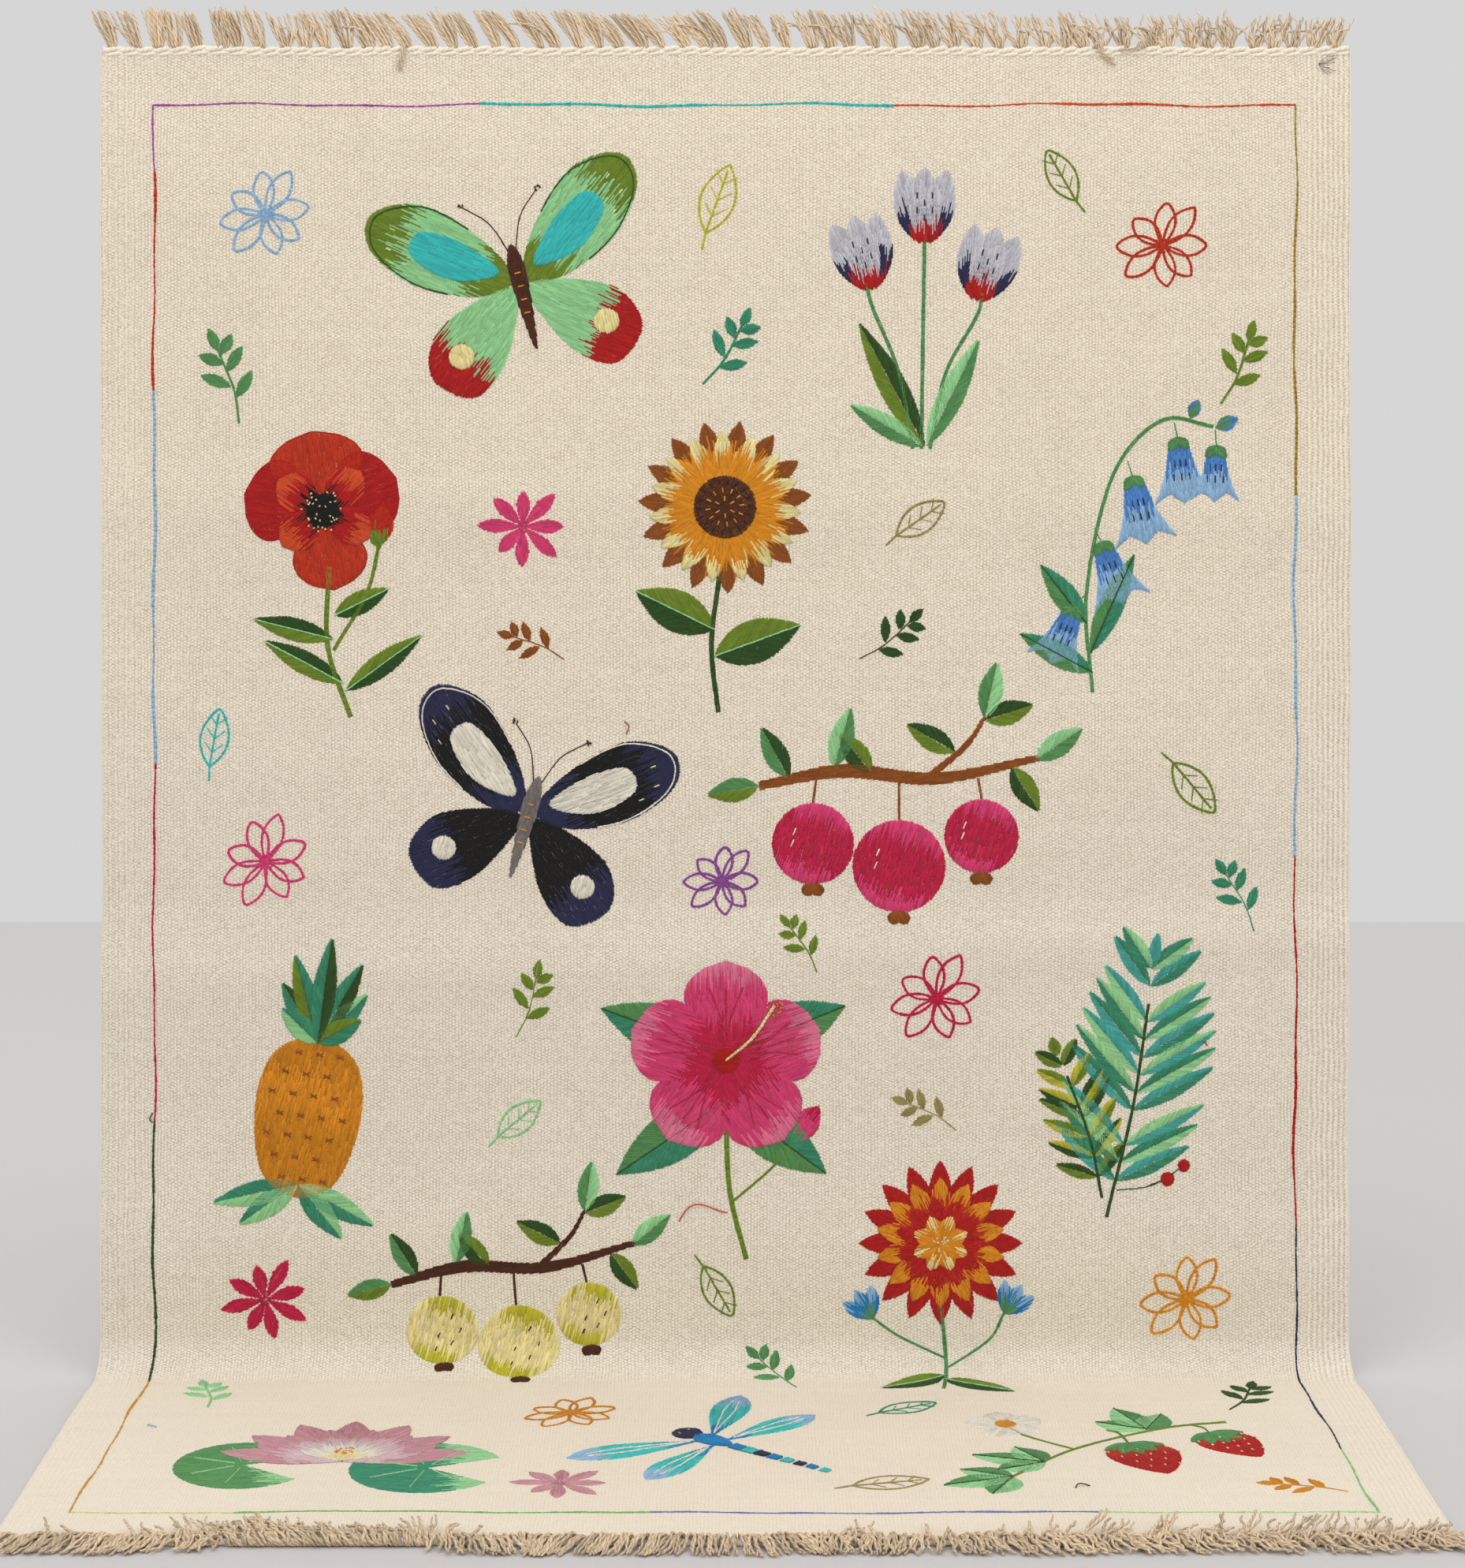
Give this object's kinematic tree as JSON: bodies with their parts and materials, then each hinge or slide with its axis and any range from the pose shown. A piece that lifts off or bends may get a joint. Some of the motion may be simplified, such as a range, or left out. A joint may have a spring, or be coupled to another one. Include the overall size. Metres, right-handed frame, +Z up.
{
  "type": "fringed flat-woven rug",
  "caption": "Flat-woven wool rug with a fringe at both ends, hung by its top edge and turned forward to lie on the floor, with embroidered flowers and a stitched border line.",
  "frame": {"origin": "middle of the cloth's top edge, on its back", "axes": "+Z up, -Y the way the rug's face looks, +X to the right as seen from the front"},
  "size_m": [1.6428, 0.6749, 1.7567],
  "materials": {
    "natural_wool": "undyed cream wool, flat woven, matt",
    "warp_yarn": "plied warp yarn, linen brown, matt"
  },
  "bodies": {
    "root": {"cloth": "natural_wool", "top_fringe": "warp_yarn", "floor_fringe": "warp_yarn"}
  },
  "joints": []
}
